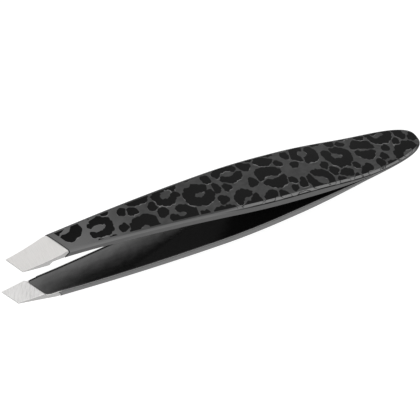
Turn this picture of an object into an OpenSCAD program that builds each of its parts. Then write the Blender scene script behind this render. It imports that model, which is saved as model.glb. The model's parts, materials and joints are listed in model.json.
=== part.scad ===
// Slant tweezers: two bowed, crowned spring arms welded at the heel, with tips ground at a slant.
// +X runs from the tips to the heel, +Y to the long corner of the slant, +Z to the upper arm.
// The origin is under the middle of the length, on the plane that the lower arm touches.
// Each arm is drawn as the upper one. The lower arm is its mirror image in the middle plane.
// In the functions, x is the distance from the long corner of the tip, before the shift to the origin.

/* [Arms] */
// Overall length, from the long corner of the tip to the heel end
length = 95; // [88:1:102]
// Width of an arm's steel where it is widest
max_width = 11.3; // [9.5:0.1:12.5]
// Distance of the widest place from the heel end
widest_at = 36.5; // [32:0.5:40]
// Narrowing of each side of the front half, per millimetre of length
side_taper = 0.075; // [0.065:0.0025:0.0775]
// Thickness at the edges of the thin springy heel
heel_thickness = 0.5; // [0.45:0.05:0.8]
// Thickness at the edges where the arm is thickest
middle_thickness = 2; // [1.6:0.1:2.3]
// Thickness at the edges behind the ground tip
front_thickness = 1.4; // [1.2:0.1:1.7]
// Rise of the crowned outer face above its edges, where the arm is widest
crown = 0.4; // [0.2:0.05:0.6]
// Depth of the hollow along the inner face, where the arm is widest
hollow = 0.25; // [0.1:0.05:0.35]
// Radius of the rounded outer edges
edge_radius = 0.45; // [0.2:0.05:0.5]

/* [Bow] */
// Length at the heel where the two arms lie face to face
joined_length = 8.5; // [7:0.5:10]
// Distance from the heel end where the outward curve ends and the straight flare starts
flare_start = 32; // [28:1:33]
// Distance from the heel end where the straight flare ends and the arm curves back
flare_end = 45; // [42:1:48]
// Slope of the straight flare
flare_slope = 0.123; // [0.11:0.001:0.13]
// Distance from the heel end where the backward curve ends
bow_end = 80; // [76:1:83]
// Slope of the arm in front of the bow
front_slope = 0.015; // [0:0.005:0.02]

/* [Tip] */
// Angle of the slant across the tip, in degrees
slant = 25; // [20:1:30]
// Half the opening between the tips at rest, at their long corners
tip_rise = 4.9; // [4.6:0.05:5.1]
// Thickness of the ground edge
edge_thickness = 0.2; // [0.15:0.05:0.3]
// Length of the flat gripping pad inside the tip
pad_length = 5.1; // [4:0.1:5.5]
// Length of the step behind the pad
pad_step = 0.6; // [0.4:0.1:0.8]
// Length of the bare ground steel on the outer face
bare_length = 8.8; // [8:0.1:10]
// Sideways set of the tip towards its short corner
tip_set = 0.36; // [0:0.02:0.4]

/* [Finish and joint] */
// Thickness of the printed film and of the enamel
coat = 0.1; // [0.08:0.01:0.12]
// Distance from the heel end to the line about which an arm bends
bend_at = 18; // [17:0.5:19]
// Gap left between the pads when the arms are closed
closed_gap = 0.04; // [0.02:0.01:0.1]
// Radius of a weld nugget
nugget_radius = 1.6; // [1.2:0.1:1.8]

/* [Hidden] */

steel_colour = [0.83, 0.82, 0.8];
print_colour = [0.26, 0.26, 0.27];
enamel_colour = [0.05, 0.05, 0.05];

half_width_max = max_width / 2;
slant_run = tan(slant);
front_curve_radius = 180; // plan radius between the widest place and the straight taper
heel_power = 2.6;         // exponents of the rounded heel end in plan
heel_root = 2.9;
heel_end_cut = 0.02;      // keeps the last section at the heel end wider than nothing
inner_chamfer = 0.1;
thick_from = flare_start; // distance from the heel end where the arm reaches its full thickness
tip_set_length = 9;       // length over which the tip is set sideways
recess_rise = 0.35;       // the inner face climbs this much behind the pad's step
recess_length = 9;        // length over which it climbs, ever more gently
enamel_clear = 4;         // the enamel stops this far in front of the bend

// Sections follow the slant near the tip and turn square to the length further back.
slant_from = 12;
square_from = 40;

tip_x = slant_run * (half_width(0) + set_over(0));
pad_end = tip_x + pad_length;
step_end = pad_end + pad_step;
coat_from = tip_x + bare_length;
bend_x = length - bend_at;
enamel_to = bend_x - enamel_clear;

tip_stations = [tip_x, (tip_x + pad_end) / 2, pad_end, step_end, (step_end + coat_from) / 2];
blade_count = 18;
blade_stations = [for (i = [0:blade_count - 1]) coat_from + (enamel_to - coat_from) * i / blade_count];
rear_stations = [enamel_to, (enamel_to + bend_x) / 2, bend_x];
enamel_stations = concat([step_end, (step_end + coat_from) / 2], blade_stations, [enamel_to]);
heel_count = 11;
heel_stations = [for (i = [0:heel_count]) length - bend_at * pow(1 - i / heel_count, 2.2)];

function clamp01(v) = max(0, min(1, v));
function smooth(v) = let (c = clamp01(v)) c * c * (3 - 2 * c);

// Half the width in plan: a rounded heel end, an arc past the widest place, then a straight taper.
function half_width(x) =
    let (
        s = max(length - x, heel_end_cut),
        past = max(s - widest_at, 0),
        arc = min(past, front_curve_radius * side_taper)
    )
    s < widest_at
        ? half_width_max * pow(1 - pow((widest_at - s) / widest_at, heel_power), 1 / heel_root)
        : half_width_max - arc * arc / (2 * front_curve_radius) - side_taper * (past - arc);

// Height of the inner face's edges above the middle plane: flat, curving out, straight, curving back.
function bow_height(x) =
    let (
        s = length - x,
        out = clamp01((s - joined_length) / (flare_start - joined_length)),
        straight = max(s - flare_start, 0),
        back = max(min(s, bow_end) - flare_end, 0),
        front = max(s - bow_end, 0)
    )
    flare_slope * (flare_start - joined_length) * out * out / 2
        + flare_slope * (straight - front)
        - (flare_slope - front_slope) * back * back / (2 * (bow_end - flare_end))
        + front_slope * front;

// Thickness at the edges.
function thickness(x) =
    let (s = length - x)
    heel_thickness
        + (middle_thickness - heel_thickness) * smooth((s - joined_length) / (thick_from - joined_length))
        + (front_thickness - middle_thickness) * clamp01((s - thick_from) / (length - thick_from));

// The arm bends about a line on its inner face. Closing by close_angle brings the pads face to face.
bend_height = bow_height(bend_x);
close_angle = atan((tip_rise - bend_height) / bend_x)
    - asin((closed_gap / 2 - bend_height) / norm([tip_rise - bend_height, bend_x]));

function shear(x) = slant_run * clamp01((square_from - x) / (square_from - slant_from));
function set_over(x) = -tip_set * (1 - pow(clamp01(x / tip_set_length), 2));
function width_share(x) = pow(half_width(x) / half_width_max, 2);
// How far the outer face has risen from the edge of the tip to its full height at the coat.
function ground(x) = clamp01((x - tip_x) / (coat_from - tip_x));

// A point of the section at station x, given by its side position as a share of the half width
// and an inset from the edge. It gives [x, y, share] on the slanted section.
function place(x, share, inset) =
    let (
        guess = share * half_width(x),
        at = x - shear(x) * guess,
        y = share * half_width(at) - sign(share) * inset + set_over(at)
    )
    [x - shear(x) * y, y, (y - set_over(at)) / half_width(at)];

// Height of the outer face. In front of the coat it is ground down to the edge of the tip.
function outer_height(x, p) =
    let (
        rise = crown * width_share(p[0]) * (1 - min(1, p[2] * p[2])),
        full = bow_height(p[0]) + thickness(p[0]) + rise,
        edge = pad_height(p[0]) + edge_thickness,
        to_end = min(1, (length - x) / edge_radius),
        end_round = edge_radius * (1 - sqrt(1 - pow(1 - to_end, 2)))
    )
    edge + (full - edge) * ground(x) - min(end_round, full / 2);

function pad_height(x) = tip_rise - tan(close_angle) * x;

// Height of the inner face: the flat pad, its step, then the hollow face of the arm.
function inner_height(x, p) =
    let (
        rise = recess_rise * pow(clamp01(1 - (x - step_end) / recess_length), 2),
        dish = hollow * width_share(p[0]) * (1 - min(1, p[2] * p[2]))
            * smooth((length - p[0] - joined_length) / (thick_from - joined_length)),
        face = bow_height(p[0]) + dish - rise,
        step = clamp01((x - pad_end) / pad_step)
    )
    pad_height(p[0]) * (1 - step) + face * step;

// The outer line of a section, from the near edge over the crown to the far edge.
// grow thickens it evenly, which gives the outside of the film.
function outer_line(x, grow) =
    let (
        fine = 0.2 + 0.8 * ground(x),
        lip = inner_chamfer * fine,
        near = place(x, -1, 0),
        far = place(x, 1, 0),
        wall = outer_height(x, near) - inner_height(x, near) - lip,
        r = min(edge_radius * fine, 0.8 * half_width(x)),
        fall = min(r, 0.75 * wall),
        part_way = 1 - sin(45),
        across = [[-1, 0, fall], [-1, r * part_way, fall * part_way], [-1, r, 0], [-0.5, 0, 0],
            [0, 0, 0], [0.5, 0, 0], [1, r, 0], [1, r * part_way, fall * part_way], [1, 0, fall]],
        out = [[-1, 0], [-0.7, 0.7], [0, 1], [0, 1], [0, 1], [0, 1], [0, 1], [0.7, 0.7], [1, 0]]
    )
    concat(
        [[near[0], near[1] - grow, inner_height(x, near) + lip]],
        [for (i = [0:len(across) - 1])
            let (a = across[i], p = place(x, a[0], a[1]))
            [p[0], p[1] + out[i][0] * grow, outer_height(x, p) - a[2] + out[i][1] * grow]],
        [[far[0], far[1] + grow, inner_height(x, far) + lip]]
    );

// The inner line of a section, with as many points as the outer line.
function inner_line(x, grow) =
    [for (i = [-5:5])
        let (p = place(x, i / 5, abs(i) == 5 ? inner_chamfer : 0))
        [p[0], p[1], inner_height(x, p) - grow]];

// A solid between an upper and a lower sheet of lines that have equal numbers of points.
module between(upper, lower) {
    rows = len(upper);
    cols = len(upper[0]);
    function up(i, j) = i * cols + j;
    function low(i, j) = rows * cols + up(i, j);
    function quad(a, b, c, d) = [[a, b, c], [a, c, d]];
    faces = [
        for (i = [0:rows - 2])
            for (j = [0:cols - 2])
                each concat(
                    quad(up(i, j), up(i, j + 1), up(i + 1, j + 1), up(i + 1, j)),
                    quad(low(i, j), low(i + 1, j), low(i + 1, j + 1), low(i, j + 1))
                ),
        for (i = [0:rows - 2])
            each concat(
                quad(up(i, 0), up(i + 1, 0), low(i + 1, 0), low(i, 0)),
                quad(up(i + 1, cols - 1), up(i, cols - 1), low(i, cols - 1), low(i + 1, cols - 1))
            ),
        for (j = [0:cols - 2])
            each concat(
                quad(up(0, j + 1), up(0, j), low(0, j), low(0, j + 1)),
                quad(up(rows - 1, j), up(rows - 1, j + 1), low(rows - 1, j + 1), low(rows - 1, j))
            )
    ];
    polyhedron(points = concat([for (line = upper) each line], [for (line = lower) each line]), faces = faces);
}

module steel(stations) {
    between([for (x = stations) outer_line(x, 0)], [for (x = stations) inner_line(x, 0)]);
}

module film(stations) {
    between([for (x = stations) outer_line(x, coat)], [for (x = stations) outer_line(x, 0)]);
}

module enamel(stations) {
    between([for (x = stations) inner_line(x, 0)], [for (x = stations) inner_line(x, coat)]);
}

// Height of the middle plane above the origin: the lower arm's film touches the plane z = 0.
film_top = max([for (x = concat(blade_stations, rear_stations)) for (p = outer_line(x, coat)) p[2]]);

module place_upper() {
    translate([-length / 2, 0, film_top])
        children();
}

module place_lower() {
    translate([-length / 2, 0, film_top])
        mirror([0, 0, 1])
            children();
}

module upper_heel() {
    color(steel_colour) place_upper() steel(heel_stations);
}

module lower_heel() {
    color(steel_colour) place_lower() steel(heel_stations);
}

// Two lens-shaped nuggets of fused steel across the joint face.
module weld_nuggets() {
    nugget_half = 0.4 * heel_thickness;
    color(steel_colour)
        place_upper()
            for (from_end = [3.2, 7])
                translate([length - from_end, 0, 0])
                    rotate_extrude($fn = 48)
                        polygon([[0, -nugget_half], [0.7 * nugget_radius, -0.7 * nugget_half],
                            [nugget_radius, 0], [0.7 * nugget_radius, 0.7 * nugget_half], [0, nugget_half]]);
}

module upper_heel_print() {
    color(print_colour) place_upper() film(heel_stations);
}

module lower_heel_print() {
    color(print_colour) place_lower() film(heel_stations);
}

module upper_blade() {
    color(steel_colour) place_upper() steel(concat(tip_stations, blade_stations, rear_stations));
}

module lower_blade() {
    color(steel_colour) place_lower() steel(concat(tip_stations, blade_stations, rear_stations));
}

module upper_blade_print() {
    color(print_colour) place_upper() film(concat(blade_stations, rear_stations));
}

module lower_blade_print() {
    color(print_colour) place_lower() film(concat(blade_stations, rear_stations));
}

module upper_inner_enamel() {
    color(enamel_colour) place_upper() enamel(enamel_stations);
}

module lower_inner_enamel() {
    color(enamel_colour) place_lower() enamel(enamel_stations);
}

upper_heel();
lower_heel();
weld_nuggets();
upper_heel_print();
lower_heel_print();
upper_blade();
lower_blade();
upper_blade_print();
lower_blade_print();
upper_inner_enamel();
lower_inner_enamel();
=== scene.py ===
"""Looks of the slant tweezers: dense, continuous meshes for the two arms, and their materials.

Each arm is a steel core with a bare ground tip, a grey film with black rosettes round its outer side,
and black enamel on its inner face. The shapes follow the formulas of the CAD model.
Lengths are in millimetres up to the last step, which writes metres. In the formulas, x is the distance
from the long corner of the tip, y is across, and z is the height above the middle plane between the arms.
Both arms are drawn as the upper one, and the lower arm is mirrored in the middle plane.
"""

import json
import math

import bmesh
import bpy
import numpy as np
from mathutils import Matrix, Vector, noise


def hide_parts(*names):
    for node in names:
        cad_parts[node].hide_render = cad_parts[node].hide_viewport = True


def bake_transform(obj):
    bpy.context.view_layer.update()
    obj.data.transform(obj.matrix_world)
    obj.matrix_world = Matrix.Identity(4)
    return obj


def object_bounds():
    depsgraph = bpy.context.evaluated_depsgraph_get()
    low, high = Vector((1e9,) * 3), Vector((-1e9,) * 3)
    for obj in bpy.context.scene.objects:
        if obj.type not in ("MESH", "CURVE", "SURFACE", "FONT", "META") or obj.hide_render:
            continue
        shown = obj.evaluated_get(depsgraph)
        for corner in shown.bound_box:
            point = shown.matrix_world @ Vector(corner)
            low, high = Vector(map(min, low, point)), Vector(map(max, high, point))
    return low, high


noise.seed_set(5)
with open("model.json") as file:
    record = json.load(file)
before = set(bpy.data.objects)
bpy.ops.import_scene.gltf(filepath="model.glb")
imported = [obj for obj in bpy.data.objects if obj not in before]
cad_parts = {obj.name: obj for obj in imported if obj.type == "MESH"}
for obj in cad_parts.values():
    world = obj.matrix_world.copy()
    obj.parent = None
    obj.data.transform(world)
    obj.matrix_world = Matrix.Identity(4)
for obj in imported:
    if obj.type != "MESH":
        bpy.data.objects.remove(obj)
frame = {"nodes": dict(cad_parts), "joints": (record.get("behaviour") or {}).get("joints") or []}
cad_bounds = [list(corner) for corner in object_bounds()]
cad_low, cad_high = (np.array(corner) for corner in cad_bounds)

MM = 0.001

# Sizes from the frame
LENGTH = 2 * cad_high[0] / MM
MIDDLE = (cad_low[2] + cad_high[2]) / 2 / MM
COAT = 0.1
HALF_WIDTH = cad_high[1] / MM - COAT
PAD_TILT = math.radians(frame["joints"][0]["range_deg"][1])

# Sizes of an arm, as in the CAD model
WIDEST_AT = 36.5
SIDE_TAPER = 0.075
FRONT_CURVE_RADIUS = 180
HEEL_POWER, HEEL_ROOT = 2.6, 2.9
HEEL_THICKNESS, MIDDLE_THICKNESS, FRONT_THICKNESS = 0.5, 2.0, 1.4
CROWN, HOLLOW = 0.4, 0.25
EDGE_RADIUS = 0.45
INNER_CHAMFER = 0.1
JOINED_LENGTH, FLARE_START, FLARE_END, BOW_END = 8.5, 32, 45, 80
FLARE_SLOPE, FRONT_SLOPE = 0.123, 0.015
SLANT_RUN = math.tan(math.radians(25))
SLANT_FROM, SQUARE_FROM = 12, 40
TIP_RISE, EDGE_THICKNESS = 4.9, 0.2
PAD_LENGTH, PAD_STEP, BARE_LENGTH = 5.1, 0.6, 8.8
TIP_SET, TIP_SET_LENGTH = 0.36, 9
RECESS_RISE, RECESS_LENGTH = 0.35, 9

# Details that only the looks have
HEEL_ROUNDING = 0.2  # the outer edges are this much rounder at the heel
HEEL_ROUNDING_FROM, HEEL_ROUNDING_LENGTH = 30, 20  # where that begins, from the heel end, and its run
HEEL_CURVE_TO = 24  # up to here the heel's edges are rounded square to its curved outline
EDGE_BREAK = 0.02  # fine chamfer along the edges of the ground tip
RIM = 0.1  # narrow bevel of bare steel in front of the film
COAT_FADE = RIM / 3  # the steel turns grey over this first part of the bevel
RIM_SINK = 0.02  # depth of the ground face below the steel's own edge at the film
FILM_LEAN = 0.7  # on the sides, the film's front edge leans this far forward
FILM_LEAN_LENGTH = 6  # the leaning sections straighten up over this length
ENAMEL_INSET = 0.06
ENAMEL_CORNER = 0.8  # rounding of the enamel's front corners
ENAMEL_CORNER_LENGTH = 5  # its curved sections straighten up over this length
ENAMEL_ROUNDING = (0.4, 0.15)  # width of its rounded edges on the far and the near side
ENAMEL_TO = 85  # the enamel ends here, where the arms come together
SKIN_GAP = 0.004  # keeps the steel clear of the skins that cover it
GRID = 0.2  # spacing of the dense meshes


def clamp01(v):
    return np.clip(v, 0.0, 1.0)


def smooth(v):
    c = clamp01(v)
    return c * c * (3 - 2 * c)


# The shape of an arm


def half_width(x, grow=0.0, end=0.0):
    """Half the width in plan: a rounded heel end, an arc past the widest place, then a straight taper.

    grow is the thickness of a skin on the sides, and end is how far the heel is cut back.
    """
    s = np.maximum(LENGTH - x, end)
    inside = np.minimum((s - end) / (WIDEST_AT - end), 1)
    past = np.maximum(s - WIDEST_AT, 0)
    arc = np.minimum(past, FRONT_CURVE_RADIUS * SIDE_TAPER)
    heel = (HALF_WIDTH + grow) * (1 - (1 - inside) ** HEEL_POWER) ** (1 / HEEL_ROOT)
    front = HALF_WIDTH + grow - arc**2 / (2 * FRONT_CURVE_RADIUS) - SIDE_TAPER * (past - arc)
    return np.where(s < WIDEST_AT, heel, front)


def bow_height(x):
    """Height of the inner face's edges: flat, curving out, straight, curving back."""
    s = LENGTH - x
    curve_length = FLARE_START - JOINED_LENGTH
    out = clamp01((s - JOINED_LENGTH) / curve_length)
    straight = np.maximum(s - FLARE_START, 0)
    back = np.maximum(np.minimum(s, BOW_END) - FLARE_END, 0)
    front = np.maximum(s - BOW_END, 0)
    turn = (FLARE_SLOPE - FRONT_SLOPE) / (2 * (BOW_END - FLARE_END))
    return FLARE_SLOPE * (curve_length * out**2 / 2 + straight - front) - turn * back**2 + FRONT_SLOPE * front


def thickness(x):
    """Thickness of the steel at its edges."""
    s = LENGTH - x
    swell = smooth((s - JOINED_LENGTH) / (FLARE_START - JOINED_LENGTH))
    thinning = clamp01((s - FLARE_START) / (LENGTH - FLARE_START))
    return (
        HEEL_THICKNESS
        + (MIDDLE_THICKNESS - HEEL_THICKNESS) * swell
        + (FRONT_THICKNESS - MIDDLE_THICKNESS) * thinning
    )


def width_share(x):
    return (half_width(x) / HALF_WIDTH) ** 2


def shear(x0):
    """How far a section runs back for each millimetre across: it follows the slant near the tip."""
    return SLANT_RUN * clamp01((SQUARE_FROM - x0) / (SQUARE_FROM - SLANT_FROM))


def set_over(x0):
    return -TIP_SET * (1 - clamp01(x0 / TIP_SET_LENGTH) ** 2)


TIP_X = SLANT_RUN * float(half_width(0.0) + set_over(0.0))
PAD_END = TIP_X + PAD_LENGTH
STEP_END = PAD_END + PAD_STEP
COAT_FROM = TIP_X + BARE_LENGTH


def crest(x, share):
    """Height of the steel's crowned outer face, before its edges are rounded."""
    return bow_height(x) + thickness(x) + CROWN * width_share(x) * (1 - share**2)


def pad_height(x):
    return TIP_RISE - math.tan(PAD_TILT) * x


def inner_face(x0, x, share):
    """Height of the steel's inner face: the flat pad, its step, then the hollow face of the arm."""
    rise = RECESS_RISE * clamp01(1 - (x0 - STEP_END) / RECESS_LENGTH) ** 2
    fade = smooth((LENGTH - x - JOINED_LENGTH) / (FLARE_START - JOINED_LENGTH))
    dish = HOLLOW * width_share(x) * (1 - share**2) * fade
    step = clamp01((x0 - PAD_END) / PAD_STEP)
    return pad_height(x) * (1 - step) + (bow_height(x) + dish - rise) * step


def fineness(x0):
    """From 0.2 at the tip to 1 at the film: the share of their full size that chamfers have."""
    return 0.2 + 0.8 * clamp01((x0 - TIP_X) / (COAT_FROM - TIP_X))


def ground_face(x0, x):
    """Height of the flat outer face ground at the tip, which rises from the edge to the film."""
    low = pad_height(x) + EDGE_THICKNESS
    high = crest(COAT_FROM, 1.0) - RIM_SINK
    return low + (high - low) * (x0 - TIP_X) / (COAT_FROM - TIP_X)


# Sheets of points: one row for each section, one column for each place round it


class Sheet:
    """A grid of points, with the distance of each along the surface from the top of the side wall."""

    def __init__(self, x, y, z, border):
        self.x, self.y, self.z, self.border = x, y, z, border


WALL_STEPS, CORNER_STEPS = 5, 8
CROWN_STEPS = round(2 * HALF_WIDTH / GRID)


def section_columns():
    """Columns from the bottom of the near side over the crown to the bottom of the far side.

    Each has its share of the crown's width, its turn round the corner and its height up the wall.
    """
    near = [(-1.0, 0.0, i / WALL_STEPS) for i in range(WALL_STEPS)]
    near += [(-1.0, i / CORNER_STEPS, 1.0) for i in range(CORNER_STEPS)]
    crown = [(2 * i / CROWN_STEPS - 1, 1.0, 1.0) for i in range(CROWN_STEPS + 1)]
    far = [(1.0, turn, up) for _, turn, up in reversed(near)]
    return (np.array(column) for column in zip(*(near + crown + far)))


SHARE, TURN, UP = section_columns()
COLUMNS = len(SHARE)


def across(x0, share, room, grow=0.0, end=0.0):
    """Plan position at a share of the half width less room. It gives x, y and the true half width."""
    at = x0 - shear(x0) * share * half_width(x0, grow, end)
    half = half_width(at, grow, end)
    y = share * (half - room) + set_over(x0)
    return x0 - shear(x0) * y, y, half


def outline_distance(x, y, grow, end):
    """Distance in plan from points of the heel to the rounded outline."""
    s = end + (WIDEST_AT - end) * np.linspace(0, 1, 260) ** 4
    half = half_width(LENGTH - s, grow, end)
    edge_x = np.concatenate([LENGTH - s[::-1], LENGTH - s[1:]])
    edge_y = np.concatenate([-half[::-1], half[1:]])
    best = np.full(x.shape, np.inf)
    for ax, ay, bx, by in zip(edge_x, edge_y, edge_x[1:], edge_y[1:]):
        ex, ey = bx - ax, by - ay
        along = clamp01(((x - ax) * ex + (y - ay) * ey) / (ex * ex + ey * ey))
        best = np.minimum(best, (x - ax - along * ex) ** 2 + (y - ay - along * ey) ** 2)
    return np.sqrt(best)


def outer_sheet(x0, grow=0.0, end=0.0):
    """The outer side of the steel, or of a skin of thickness grow on it."""
    x0 = np.broadcast_to(x0, (len(x0), COLUMNS))
    towards_heel = smooth((HEEL_ROUNDING_FROM - (LENGTH - x0)) / HEEL_ROUNDING_LENGTH)
    full_radius = EDGE_RADIUS + HEEL_ROUNDING * towards_heel + grow
    radius = np.minimum(full_radius, 0.8 * half_width(x0, grow, end))
    wall = thickness(x0) - INNER_CHAMFER * fineness(x0)
    fall = np.minimum(full_radius - grow, 0.75 * wall) + grow

    # Where the tip is ground, the corner is rounded only as far up as the ground face
    bare = grow == 0.0
    cut = clamp01((crest(x0, 1.0) - ground_face(x0, x0)) / fall) * (x0 < COAT_FROM) if bare else 0 * x0
    last_angle = np.maximum(np.arcsin(1 - cut), np.arccos(1 - EDGE_BREAK / full_radius))
    angle = TURN * last_angle
    inset = np.where(np.abs(SHARE) == 1, radius * (1 - np.cos(angle)), 0)
    room = radius * (1 - np.cos(last_angle))
    x, y, half = across(x0, SHARE, np.where(np.abs(SHARE) == 1, inset, room), grow, end)
    share = clamp01(np.abs(y - set_over(x0)) / np.maximum(half, 1e-6))

    distance = half - np.abs(y - set_over(x0))
    heel = LENGTH - x0[:, 0] < HEEL_CURVE_TO
    distance[heel] = outline_distance(x[heel], y[heel], grow, end)
    depth = clamp01(distance / full_radius)
    z = crest(x, share) + grow - fall * (1 - np.sqrt(1 - (1 - depth) ** 2))
    if bare:
        ground = ground_face(x0, x) - np.maximum(EDGE_BREAK - distance, 0)
        rim = clamp01((x0 - COAT_FROM + RIM) / RIM)
        z = np.where(x0 < COAT_FROM, np.minimum(z, ground + (z - ground) * rim), z - SKIN_GAP)

    edge_x, edge_y, _ = across(x0, np.sign(SHARE), INNER_CHAMFER, 0.0, end)
    bottom = inner_face(x0, edge_x, 1.0) + INNER_CHAMFER * fineness(x0)
    on_round = full_radius * np.arccos(1 - depth)
    on_crown = full_radius * (math.pi / 2 - 1) + distance
    border = np.where(depth < 1, on_round, on_crown)
    border = np.where(UP < 1, (UP - 1) * (z - bottom), border)
    return Sheet(x, y, np.where(UP < 1, bottom + UP * (z - bottom), z), border)


def inner_sheet(x0, inset=INNER_CHAMFER, end=0.0):
    """The inner face of the steel, with its sides inset."""
    x0 = np.broadcast_to(x0, (len(x0), COLUMNS))
    share = np.linspace(-1, 1, COLUMNS)
    x, y, half = across(x0, share, np.minimum(inset, 0.5 * half_width(x0, 0.0, end)), 0.0, end)
    true_share = clamp01(np.abs(y - set_over(x0)) / np.maximum(half, 1e-6))
    return Sheet(x, y, inner_face(x0, x, true_share), half - np.abs(y - set_over(x0)))


# Stations, as columns of x0


def spread(start, stop, step):
    """Evenly spaced stations from start up to, but not including, stop."""
    count = max(1, round((stop - start) / step))
    return start + (stop - start) * np.arange(count) / count


def heel_stations(start, end, count):
    """Stations that close up towards the rounded heel end."""
    return LENGTH - end - (LENGTH - end - start) * (1 - np.linspace(0, 1, count + 1)) ** 2.2


HEEL_FROM = LENGTH - 18


def film_stations(end):
    """Stations of the film, whose front edge leans forward on the sides."""
    rows = np.concatenate([spread(COAT_FROM, HEEL_FROM, GRID), heel_stations(HEEL_FROM, end, 110)])
    lean = FILM_LEAN * (1 - UP) * clamp01(1 - (rows[:, None] - COAT_FROM) / FILM_LEAN_LENGTH)
    return rows[:, None] - lean


def steel_stations():
    rows = np.concatenate(
        [
            spread(TIP_X, PAD_END, GRID),
            spread(PAD_END, STEP_END, GRID / 2),
            spread(STEP_END, COAT_FROM - RIM, GRID),
            spread(COAT_FROM - RIM, COAT_FROM, RIM / 3),
            [COAT_FROM - 0.001],
            spread(COAT_FROM, HEEL_FROM, 5 * GRID),
            heel_stations(HEEL_FROM, COAT, 40),
        ]
    )
    return rows[:, None]


def enamel_stations():
    """Stations of the enamel, whose front corners are rounded."""
    rows = spread(STEP_END, ENAMEL_TO, 2 * GRID)
    share = np.abs(np.linspace(-1, 1, COLUMNS))
    near_edge = clamp01((share - 1) * half_width(STEP_END) / ENAMEL_CORNER + 1)
    lag = ENAMEL_CORNER * (1 - np.sqrt(1 - near_edge**2))
    return rows[:, None] + lag * clamp01(1 - (rows[:, None] - STEP_END) / ENAMEL_CORNER_LENGTH)


# Meshes


def grid_faces(rows, columns, first, flip):
    """Quads of a grid of points whose numbers start at first."""
    at = first + np.arange(rows * columns).reshape(rows, columns)
    quads = np.stack([at[:-1, :-1], at[:-1, 1:], at[1:, 1:], at[1:, :-1]], axis=-1).reshape(-1, 4)
    return quads[:, ::-1] if flip else quads


def rim_faces(rows, columns, second):
    """Quads that join the edges of two grids of the same size. The second grid starts at second."""
    at = np.arange(rows * columns).reshape(rows, columns)
    loop = np.concatenate([at[0, :-1], at[:-1, -1], at[-1, :0:-1], at[:0:-1, 0]])
    following = np.roll(loop, -1)
    return np.stack([loop, loop + second, following + second, following], axis=-1)


def solid(name, top, bottom, lower_arm, values=None):
    """A closed mesh between two sheets. values holds a pair of arrays: one for each sheet's points."""
    rows, columns = top.x.shape
    count = rows * columns
    side = -1 if lower_arm else 1
    rest = np.stack([np.append(getattr(top, axis), getattr(bottom, axis)) for axis in "xyz"], axis=-1)
    rest[:, 2] *= side
    points = (rest + [-LENGTH / 2, 0, MIDDLE]) * MM
    faces = np.concatenate(
        [
            grid_faces(rows, columns, 0, True),
            grid_faces(rows, columns, count, False),
            rim_faces(rows, columns, count)[:, ::-1],
        ]
    )
    if lower_arm:
        faces = faces[:, ::-1]
    mesh = bpy.data.meshes.new(name)
    mesh.from_pydata(points, [], faces)
    attribute = mesh.attributes.new("rest", "FLOAT_VECTOR", "POINT")
    attribute.data.foreach_set("vector", rest.astype(np.float32).ravel())
    for key, value in (values or {}).items():
        attribute = mesh.attributes.new(key, "FLOAT", "POINT")
        both = np.concatenate([part.ravel() for part in value])
        attribute.data.foreach_set("value", both.astype(np.float32))
    tidy_mesh(mesh)
    piece = bpy.data.objects.new(name, mesh)
    bpy.context.scene.collection.objects.link(piece)
    return piece


def tidy_mesh(mesh):
    """Merges the points that meet at the heel end, and shades the mesh smooth between crisp edges."""
    edit = bmesh.new()
    edit.from_mesh(mesh)
    bmesh.ops.remove_doubles(edit, verts=edit.verts, dist=1e-8)
    bmesh.ops.recalc_face_normals(edit, faces=edit.faces)
    edit.to_mesh(mesh)
    edit.free()
    mesh.polygons.foreach_set("use_smooth", np.ones(len(mesh.polygons), bool))
    mesh.set_sharp_from_angle(angle=math.radians(30))


# The print: black rosettes, drawn as a signed distance from their edges, negative inside

PRINT_X = (COAT_FROM - 3, LENGTH + 3)
PRINT_Y = HALF_WIDTH + 3
ROSETTE_SPACING = 5.5
ROSETTE_RADIUS = (1.5, 1.95)
ROSETTE_STRETCH = (1.1, 1.5)
ROSETTE_STROKE = (0.8, 1.15)
LOBE_CIRCLES = 9
SPOT_SPACING = 0.7
SPOT_SIZE = (0.7, 1.25)
SPOT_ROOM = 0.9  # a spot is only put where the ink is further away than this
PRINT_GAP = 0.26
INK_GROWTH = 0.14  # behind the front, the ink is this much bolder all round
PLAIN_FRONT = 1.3  # the film has no print this close to its front edge
OUTLINE_SHIFT = (0.05, 0.14)  # the pale outline, a painted highlight along the rosettes' edges, shows on this side of the ink


def scattered(rng, spacing, tries):
    """Random places in the printed area that keep a distance from each other."""
    places = []
    for _ in range(tries):
        place = np.array([rng.uniform(*PRINT_X), rng.uniform(-PRINT_Y, PRINT_Y)])
        if all(np.hypot(*(place - other)) > spacing for other in places):
            places.append(place)
    return places


def rosette(rng, centre):
    """The lobes of one rosette. Each lobe is a row of overlapping circles (x, y, radius) on an arc."""
    count = rng.choice([1, 1, 2, 2, 3])
    radius = rng.uniform(*ROSETTE_RADIUS)
    stretch = rng.uniform(*ROSETTE_STRETCH)
    lie = rng.uniform(-0.6, 0.6)
    turn = rng.uniform(0, 2 * math.pi)
    lobes = []
    for lobe in range(count):
        share = 2 * math.pi / count * rng.uniform(0.7, 0.86)
        start = turn + 2 * math.pi * lobe / count
        stroke = rng.uniform(*ROSETTE_STROKE)
        circles = []
        for i in range(LOBE_CIRCLES):
            angle = start + share * i / (LOBE_CIRCLES - 1)
            out = radius * rng.uniform(0.95, 1.05)
            along, beside = stretch * out * math.cos(angle), out * math.sin(angle)
            x = centre[0] + along * math.cos(lie) - beside * math.sin(lie)
            y = centre[1] + along * math.sin(lie) + beside * math.cos(lie)
            swell = 0.75 + 0.3 * math.sin(math.pi * (i + 0.5) / LOBE_CIRCLES)
            circles.append((x, y, stroke * swell * rng.uniform(0.92, 1.1)))
        lobes.append(np.array(circles))
    return lobes


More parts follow.
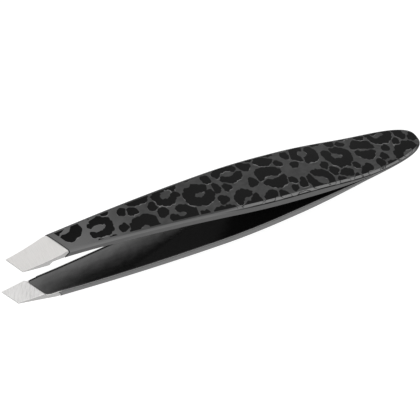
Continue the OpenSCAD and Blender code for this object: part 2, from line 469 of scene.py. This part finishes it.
def spot(rng, centre, size):
    """A solid spot: a few overlapping circles."""
    circles = [(*centre, size)]
    for _ in range(2):
        angle, reach = rng.uniform(0, 2 * math.pi), rng.uniform(0.3, 0.8) * size
        circles.append((centre[0] + reach * math.cos(angle), centre[1] + reach * math.sin(angle), 0.8 * size))
    return np.array(circles)


def nearest_two(lobes, x, y):
    """Distances from points to the nearest lobe and to the second nearest."""
    first = np.full(x.shape, 9.0)
    second = first.copy()
    for lobe in lobes:
        distance = np.full(x.shape, 9.0)
        for cx, cy, radius in lobe:
            distance = np.minimum(distance, np.hypot(x - cx, y - cy) - radius)
        second = np.minimum(second, np.maximum(first, distance))
        first = np.minimum(first, distance)
    return first, second


def print_lobes(seed):
    """Rosettes over the whole arm, with spots in the spaces between them."""
    rng = np.random.default_rng(seed)
    lobes = []
    for centre in scattered(rng, ROSETTE_SPACING, 1500):
        lobes += rosette(rng, centre)
    for place in scattered(rng, SPOT_SPACING, 1600):
        free = float(nearest_two(lobes, *place)[0])
        if free > SPOT_ROOM:
            lobes.append(spot(rng, place, min(free - 0.2, rng.uniform(*SPOT_SIZE))))
    return lobes


def ragged(x, y):
    """Points moved about a little, which makes the edges of the print ragged."""
    moved = np.array(
        [
            0.35 * noise.noise_vector(Vector((0.5 * a, 0.5 * b, 3)))
            + 0.24 * noise.noise_vector(Vector((1.9 * a, 1.9 * b, 7)))
            for a, b in zip(x.ravel(), y.ravel())
        ]
    )
    return x + moved[:, 0].reshape(x.shape), y + moved[:, 1].reshape(y.shape)


def ink_distance(lobes, x, y, bolder):
    """Distance from the ink, negative inside it. Neighbouring lobes keep a gap between them."""
    first, second = nearest_two(lobes, x, y)
    return np.maximum(first - bolder, (PRINT_GAP - (second - first)) / 2)


def print_values(sheet, seed):
    """For each point of the film: its distance from the ink, the same a little aside, the distance from
    the border of the print, and those from the side wall and from the front edge.
    """
    lobes = print_lobes(seed)
    wrapped = sheet.y + np.sign(SHARE) * (np.abs(SHARE) == 1) * (1 - sheet.border).clip(0, 3) * 0.5
    x, y = ragged(sheet.x, wrapped)
    s = LENGTH - sheet.x
    bolder = INK_GROWTH * smooth((78 - s) / 12)
    ink = ink_distance(lobes, x, y, bolder)
    aside = ink_distance(lobes, x + OUTLINE_SHIFT[0], y + OUTLINE_SHIFT[1], bolder)
    margin = 0.1 + 0.5 * smooth((22 - s) / 14) + 0.8 * smooth((s - 40) / 15)
    from_front = np.broadcast_to(film_stations(0.0) - COAT_FROM, ink.shape) + FILM_LEAN * (1 - UP)
    ink = np.maximum(ink, PLAIN_FRONT - from_front)
    aside = np.maximum(aside, PLAIN_FRONT - from_front)
    values = {
        "ink": ink,
        "ink_aside": aside,
        "border": sheet.border - margin,
        "edge": sheet.border,
        "from_front": from_front,
    }
    return {name: (value, value) for name, value in values.items()}


# Materials


class Nodes:
    """Short ways to add nodes to a material."""

    def __init__(self, name):
        self.material = bpy.data.materials.new(name)
        self.material.use_nodes = True
        self.tree = self.material.node_tree
        self.shader = self.tree.nodes["Principled BSDF"]

    def add(self, kind, inputs=(), **settings):
        """A new node, with its settings and its inputs, which are values or sockets."""
        node = self.tree.nodes.new("ShaderNode" + kind)
        for key, value in settings.items():
            setattr(node, key, value)
        for key, value in dict(inputs).items():
            if isinstance(value, bpy.types.NodeSocket):
                self.tree.links.new(value, node.inputs[key])
            else:
                node.inputs[key].default_value = value
        return node

    def geometry(self, name):
        return self.add("NewGeometry").outputs[name]

    def value(self, name):
        return self.add("Attribute", attribute_name=name).outputs["Fac"]

    def rest(self, scale, turn=0.0):
        """Where a point is at rest, in millimetres, scaled along each axis and turned about Z."""
        place = self.add("Attribute", attribute_name="rest").outputs["Vector"]
        turned = self.add("Mapping", {"Vector": place, "Rotation": (0, 0, turn)}).outputs[0]
        return self.add("Mapping", {"Vector": turned, "Scale": scale}).outputs[0]

    def noise(self, scale, detail=3.0, turn=0.0):
        place = self.rest(scale, turn)
        return self.add("TexNoise", {"Vector": place, "Scale": 1.0, "Detail": detail}).outputs["Fac"]

    def ramp(self, value, low, high, out_low=0.0, out_high=1.0):
        """value from low to high becomes out_low to out_high, smoothly, and stays there outside."""
        settings = {"Value": value, "From Min": low, "From Max": high, "To Min": out_low, "To Max": out_high}
        return self.add("MapRange", settings, interpolation_type="SMOOTHSTEP").outputs[0]

    def math(self, operation, a, b=0.0):
        return self.add("Math", {0: a, 1: b}, operation=operation).outputs[0]

    def mix(self, share, a, b):
        """Colours a and b mixed."""
        node = self.add("Mix", data_type="RGBA")
        for index, value in ((0, share), (6, a), (7, b)):
            if isinstance(value, bpy.types.NodeSocket):
                self.tree.links.new(value, node.inputs[index])
            else:
                node.inputs[index].default_value = value
        return node.outputs[2]

    def times(self, first, *others):
        """All the values multiplied together."""
        for other in others:
            first = self.math("MULTIPLY", first, other)
        return first

    def band(self, value, *ends):
        """1 between the middle two of four ends, and 0 outside the outer two."""
        return self.times(self.ramp(value, *ends[:2]), self.ramp(value, *ends[2:], 1.0, 0.0))

    def bump(self, height, distance):
        return self.add("Bump", {"Height": height, "Distance": distance, "Strength": 1.0}).outputs[0]

    def set(self, **inputs):
        """Inputs of the shader, with _ for a space in their names."""
        for key, value in inputs.items():
            socket = self.shader.inputs[key.replace("_", " ")]
            if isinstance(value, bpy.types.NodeSocket):
                self.tree.links.new(value, socket)
            else:
                socket.default_value = value


def grey(level, warmth=0.0):
    return (level * (1 + warmth), level, level * (1 - warmth), 1.0)


GRINDING_TURN = math.radians(-58)
# Painted shade: the bare steel's side faces take these darker greys
STEEL_SIDE_SHADE_DARK = grey(0.3, 0.01)
STEEL_SIDE_SHADE_PALE = grey(0.46, 0.015)
STEEL_DARK = grey(0.64, 0.015)
STEEL_MID = grey(0.74, 0.02)
STEEL_PALE = grey(0.83, 0.02)
STEEL_BRIGHT = grey(0.98, 0.01)


FILM_GREYS = grey(0.052), grey(0.07)
# Painted highlight: the film's grey towards the tip
FILM_FRONT_HIGHLIGHT = grey(0.19)
# Painted highlight along the near edge
FILM_NEAR_EDGE_HIGHLIGHT = grey(0.17)
# Painted highlight: pale outlines beside the ink
FILM_HIGHLIGHT_OUTLINE = grey(0.3)
# Painted highlight: a stripe on the near edge's rounding at the rear
FILM_HIGHLIGHT_STRIPE = grey(0.24)
# Painted light from the floor: the lower arm's side wall is paler than the upper's
FLOOR_LIT_LOWER_WALL, SHADED_UPPER_WALL = grey(0.16), grey(0.09)
INK = grey(0.002)
# Black for the film's front edge, for the painted shade on the far edge and for a black line at the rear of
# the near edge
LINE_AND_SHADE_BLACK = grey(0.006)
WALL_TOP = (-0.05, 0.05)  # where the side wall turns into the rounded edge
FRONT_FADE = (10.0, 30.0)  # painted highlight: the film is paler from the tip to here
# Where the far side, whose edge gets painted shade, begins: across the middle line, and at the heel end
MIDDLE_LINE = (-0.5, 0.0)
HEEL_END = (91.5, 94.0)
REAR_FROM = (40.0, 50.0)  # the near edge has its painted highlight stripe and a black line from here to the heel


def film_grey(n, place, edge, near_side, outline):
    """The film's colour without ink: paler at the front and along the near edge as painted highlights, with
    pale outlines beside the ink as painted highlights, and with plain side walls, the lower arm's painted
    paler as light from the floor.
    """
    mottle = n.noise((0.5, 0.9, 0.9), 4.0)
    base = n.mix(n.ramp(mottle, 0.3, 0.7), *FILM_GREYS)
    # Painted highlight: paler towards the tip
    base = n.mix(n.ramp(place["X"], *FRONT_FADE, 0.75, 0.0), base, FILM_FRONT_HIGHLIGHT)
    # Painted highlight: the near edge's rounding is paler
    base = n.mix(n.times(near_side, n.ramp(edge, 0.45, 0.7, 0.75, 0.0)), base, FILM_NEAR_EDGE_HIGHLIGHT)
    # Painted light from the floor: the lower arm's wall is paler than the upper's
    wall = n.mix(n.ramp(place["Z"], -1.0, 1.0), FLOOR_LIT_LOWER_WALL, SHADED_UPPER_WALL)
    base = n.mix(n.ramp(edge, *WALL_TOP), wall, base)
    # Painted highlight: pale outlines beside the ink
    return n.mix(outline, base, FILM_HIGHLIGHT_OUTLINE)


def rear_edge_highlight_and_line(n, place, edge, ink, fine, near_side):
    """Shares of a broken pale stripe, a painted highlight on the rounded near edge, and of a black line
    beside it.
    """
    rear_edge = n.times(near_side, n.ramp(place["X"], *REAR_FROM))
    unbroken = n.ramp(n.math("ABSOLUTE", ink), 0.05, 0.12)
    speckle = n.ramp(fine, 0.2, 0.7, 0.6, 1.0)
    # Painted highlight: a broken pale stripe on the rounded near edge
    stripe = n.times(n.band(edge, 0.36, 0.44, 0.86, 0.96), unbroken, rear_edge, speckle)
    # A black line along the lower part of the rounded near edge, at the rear
    near_black_line = n.times(n.band(edge, 0.04, 0.1, 0.3, 0.38), rear_edge, 0.9)
    return stripe, near_black_line


def film_material():
    """Satin grey film with black rosettes. Painted shade makes its far edge black, and painted highlights
    make its near edge paler.
    """
    n = Nodes("printed_film")
    ink, aside, border, edge = n.value("ink"), n.value("ink_aside"), n.value("border"), n.value("edge")
    printed = n.ramp(border, -0.02, 0.02)
    inked = n.times(n.ramp(ink, -0.03, 0.03, 1.0, 0.0), printed)
    patchy = n.ramp(n.noise((0.3, 0.8, 0.8), 1.0), 0.45, 0.6)
    # Painted highlight: a patchy pale outline on one side of the ink
    outline = n.times(n.ramp(aside, -0.03, 0.03, 1.0, 0.0), patchy, printed, 0.55)
    fine = n.noise((9.0, 9.0, 9.0), 2.0)
    place = n.add("SeparateXYZ", {0: n.rest((1, 1, 1))}).outputs
    far_side = n.math("MAXIMUM", n.ramp(place["Y"], *MIDDLE_LINE), n.ramp(place["X"], *HEEL_END))
    near_side = n.math("SUBTRACT", 1.0, far_side)
    # Painted shade: the far edge's rounding is black
    far_edge_shade = n.times(far_side, n.band(edge, *WALL_TOP, 0.55, 0.8), 0.95)
    stripe, near_black_line = rear_edge_highlight_and_line(n, place, edge, ink, fine, near_side)
    base = film_grey(n, place, edge, near_side, outline)
    # Painted highlight stripe on the near edge at the rear
    print_colour = n.mix(stripe, n.mix(inked, base, INK), FILM_HIGHLIGHT_STRIPE)
    front_edge = n.ramp(n.value("from_front"), 0.06, 0.14, 1.0, 0.0)
    # Black on the film's front edge, painted shade on the far edge, and the black line at the rear of the
    # near edge
    black_lines_and_shade = n.math("MAXIMUM", n.math("MAXIMUM", front_edge, far_edge_shade), near_black_line)
    inked_height = n.times(n.ramp(ink, -0.12, 0.0, 1.0, 0.0), printed)
    height = n.math("ADD", inked_height, n.times(fine, 0.12))
    n.set(
        Base_Color=n.mix(black_lines_and_shade, print_colour, LINE_AND_SHADE_BLACK),
        Metallic=n.ramp(n.math("MAXIMUM", inked, black_lines_and_shade), 0.0, 1.0, 0.3, 0.0),
        Roughness=n.ramp(inked, 0.0, 1.0, 0.42, 0.4),
        Specular_IOR_Level=0.1,
        Normal=n.bump(height, 0.01 * MM),
    )
    return n.material


def steel_material():
    """Bare ground steel: pale and satin, with lines from the grinding wheel across the pads. Its side faces
    are darker, as painted shade.
    """
    n = Nodes("tip_steel")
    upright = n.math("ABSOLUTE", n.add("SeparateXYZ", {0: n.geometry("True Normal")}).outputs["Z"])
    flat = n.ramp(upright, 0.45, 0.75)
    coarse = n.noise((0.25, 5.0, 1.0), 3.0, GRINDING_TURN)
    lines = n.noise((0.6, 22.0, 4.0), 3.0, GRINDING_TURN)
    fine_lines = n.noise((14.0, 0.5, 4.0), 3.0)
    broad = n.noise((0.5, 0.5, 0.5), 2.0)
    smooth_face = n.mix(n.ramp(fine_lines, 0.25, 0.75), STEEL_MID, STEEL_PALE)
    smooth_face = n.mix(n.ramp(broad, 0.35, 0.65, 0.0, 0.35), smooth_face, STEEL_PALE)
    pad = n.mix(n.ramp(lines, 0.32, 0.58), STEEL_DARK, STEEL_BRIGHT)
    pad = n.mix(n.ramp(coarse, 0.35, 0.6, 0.0, 0.6), pad, STEEL_BRIGHT)
    face = n.mix(n.value("pad"), smooth_face, pad)
    # Painted shade: faces that don't face up or down are darker
    side = n.mix(n.ramp(fine_lines, 0.3, 0.7), STEEL_SIDE_SHADE_DARK, STEEL_SIDE_SHADE_PALE)
    bare = n.mix(flat, side, face)
    n.set(
        Base_Color=n.mix(n.value("coated"), bare, grey(0.3)),
        Metallic=0.1,
        Roughness=n.ramp(lines, 0.2, 0.8, 0.4, 0.5),
        Normal=n.bump(lines, 0.006 * MM),
    )
    return n.material


def enamel_material():
    """Gloss black enamel, very slightly uneven."""
    n = Nodes("inner_enamel")
    wave = n.noise((0.35, 0.6, 0.6), 2.0)
    fine = n.noise((7.0, 7.0, 7.0), 2.0)
    n.set(
        Base_Color=n.mix(n.ramp(fine, 0.3, 0.7), grey(0.004), grey(0.005)),
        Roughness=n.ramp(wave, 0.3, 0.7, 0.1, 0.13),
        IOR=1.75,
        Normal=n.bump(n.math("ADD", wave, n.math("MULTIPLY", fine, 0.04)), 0.007 * MM),
    )
    return n.material


MATERIALS = {
    "tip_steel": steel_material(),
    "printed_film": film_material(),
    "inner_enamel": enamel_material(),
}


def finish_piece(piece, slot, body, *nodes):
    """Gives a piece its material, bakes its placing into its mesh, and hides its CAD nodes."""
    piece.data.materials.append(MATERIALS[slot])
    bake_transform(piece)
    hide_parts(*nodes)


def build_arm(side, seed):
    """The three pieces of one arm. side is upper or lower."""
    lower = side == "lower"
    body = side + "_arm"

    rows = steel_stations()
    top, under = outer_sheet(rows, end=COAT), inner_sheet(rows, end=COAT)
    under.z = under.z + SKIN_GAP * (rows > STEP_END)
    coated = np.broadcast_to(clamp01((rows - COAT_FROM + RIM) / COAT_FADE), top.x.shape)
    values = {"pad": (0 * top.x, 1 + 0 * top.x), "coated": (coated, coated)}
    steel = solid(side + "_steel", top, under, lower, values)
    finish_piece(steel, "tip_steel", body, side + "_heel", side + "_blade")

    outside = outer_sheet(film_stations(0.0), grow=COAT)
    inside = outer_sheet(film_stations(COAT), end=COAT)
    film = solid(side + "_film", outside, inside, lower, print_values(outside, seed))
    finish_piece(film, "printed_film", body, side + "_heel_print", side + "_blade_print")

    rows = enamel_stations()
    skin = inner_sheet(rows, ENAMEL_INSET)
    edge = clamp01((skin.border - ENAMEL_INSET) / np.where(skin.y > 0, *ENAMEL_ROUNDING))
    depth = np.minimum(COAT, 0.45 * skin.z) * (0.3 + 0.7 * np.sqrt(1 - (1 - edge) ** 2))
    covered = inner_sheet(rows, ENAMEL_INSET)
    skin.z = skin.z - depth
    enamel = solid(side + "_enamel", covered, skin, lower)
    finish_piece(enamel, "inner_enamel", body, side + "_inner_enamel")


build_arm("upper", 11)
build_arm("lower", 12)
for slot in frame["nodes"]["weld_nuggets"].material_slots:
    slot.material = MATERIALS["tip_steel"]


# Camera, at the photograph's viewing angle

TURN_LEFT, LOOK_DOWN, ROLL = (math.radians(a) for a in (-42.854, 49.603, 15.863))
CAMERA_DISTANCE = 300
SIDEWAYS, UPWARDS = 3.138, 1.041
SCALE = 5.0953 / 420  # share of the picture's width for each millimetre at the object


def add_camera():
    flat = math.cos(LOOK_DOWN)
    back = Vector((math.sin(TURN_LEFT) * flat, -math.cos(TURN_LEFT) * flat, math.sin(LOOK_DOWN)))
    level = (-back).cross(Vector((0, 0, 1))).normalized()
    upright = level.cross(-back)
    right = math.cos(ROLL) * level + math.sin(ROLL) * upright
    up = -math.sin(ROLL) * level + math.cos(ROLL) * upright
    place = CAMERA_DISTANCE * back - SIDEWAYS * right - UPWARDS * up + Vector((0, 0, MIDDLE))
    data = bpy.data.cameras.new("camera")
    data.sensor_width = 36
    data.lens = SCALE * CAMERA_DISTANCE * data.sensor_width
    data.clip_start, data.clip_end = 0.01, 10
    camera = bpy.data.objects.new("camera", data)
    turn = Matrix((right, up, back)).transposed().to_4x4()
    camera.matrix_world = Matrix.Translation(place * MM) @ turn
    bpy.context.scene.collection.objects.link(camera)
    bpy.context.scene.camera = camera


FLOOR_GAP = 0.05 * MM  # keeps the floor clear of the lower arm


def add_floor():
    """A plain white floor under the object."""
    mesh = bpy.data.meshes.new("floor")
    reach = 3.0
    corners = [(-reach, -reach, 0), (reach, -reach, 0), (reach, reach, 0), (-reach, reach, 0)]
    mesh.from_pydata(corners, [], [(0, 1, 2, 3)])
    floor = bpy.data.objects.new("floor", mesh)
    floor.location.z = -FLOOR_GAP
    n = Nodes("floor")
    n.set(Base_Color=grey(0.25), Roughness=0.9, Specular_IOR_Level=0.0)
    n.set(Emission_Color=grey(1.0), Emission_Strength=0.9)
    mesh.materials.append(n.material)
    bpy.context.scene.collection.objects.link(floor)


def add_light(name, place, size, power):
    """A square softbox aimed at the object."""
    data = bpy.data.lights.new(name, "AREA")
    data.shape = "SQUARE"
    data.size = size
    data.energy = power
    light = bpy.data.objects.new(name, data)
    light.location = place
    light.rotation_euler = (Vector((0, 0, MIDDLE * MM)) - Vector(place)).to_track_quat("-Z", "Y").to_euler()
    bpy.context.scene.collection.objects.link(light)


# Directions are azimuths, from +X towards +Y, and elevations, in degrees
BRIGHT_WAY = (225, 50.5)
PANELS = (  # two flags and a lamp: direction, inner and outer angle from there, level
    ((96, 56.5), 20.5, 23.5, 0.03),
    ((82.5, 43.5), 19, 23.5, 0.03),
    ((48, 52), 10, 20, 2.2),
)


def direction_to(azimuth, elevation):
    turn, rise = math.radians(azimuth), math.radians(elevation)
    return (math.cos(turn) * math.cos(rise), math.sin(turn) * math.cos(rise), math.sin(rise))


def world_level(tree, way, low, high, out_low, out_high):
    """A value that depends on how close a direction of the world is to way."""
    direction = tree.nodes.new("ShaderNodeTexCoord").outputs["Generated"]
    towards = tree.nodes.new("ShaderNodeVectorMath")
    towards.operation = "DOT_PRODUCT"
    towards.inputs[1].default_value = direction_to(*way)
    level = tree.nodes.new("ShaderNodeMapRange")
    level.interpolation_type = "SMOOTHSTEP"
    for name, value in (("From Min", low), ("From Max", high), ("To Min", out_low), ("To Max", out_high)):
        level.inputs[name].default_value = value
    tree.links.new(direction, towards.inputs[0])
    tree.links.new(towards.outputs["Value"], level.inputs["Value"])
    return level.outputs[0]


def add_world():
    """A pale studio, brightest on the near side, with two dark flags and a lamp on the far side."""
    world = bpy.data.worlds.new("studio")
    world.use_nodes = True
    tree = world.node_tree
    level = world_level(tree, BRIGHT_WAY, -0.4, 0.9, 0.8, 0.95)
    for way, inner, outer, panel_level in PANELS:
        inner, outer = math.cos(math.radians(inner)), math.cos(math.radians(outer))
        panel = tree.nodes.new("ShaderNodeMath")
        panel.operation = "MULTIPLY"
        tree.links.new(level, panel.inputs[0])
        tree.links.new(world_level(tree, way, outer, inner, 1.0, panel_level), panel.inputs[1])
        level = panel.outputs[0]
    background = tree.nodes["Background"]
    background.inputs["Color"].default_value = (1, 1, 1, 1)
    tree.links.new(level, background.inputs["Strength"])
    bpy.context.scene.world = world


add_camera()
add_floor()
add_light("key_light", (-0.18, -0.1, 0.16), 0.12, 0.03)
add_world()
bpy.context.scene.view_settings.view_transform = "Standard"
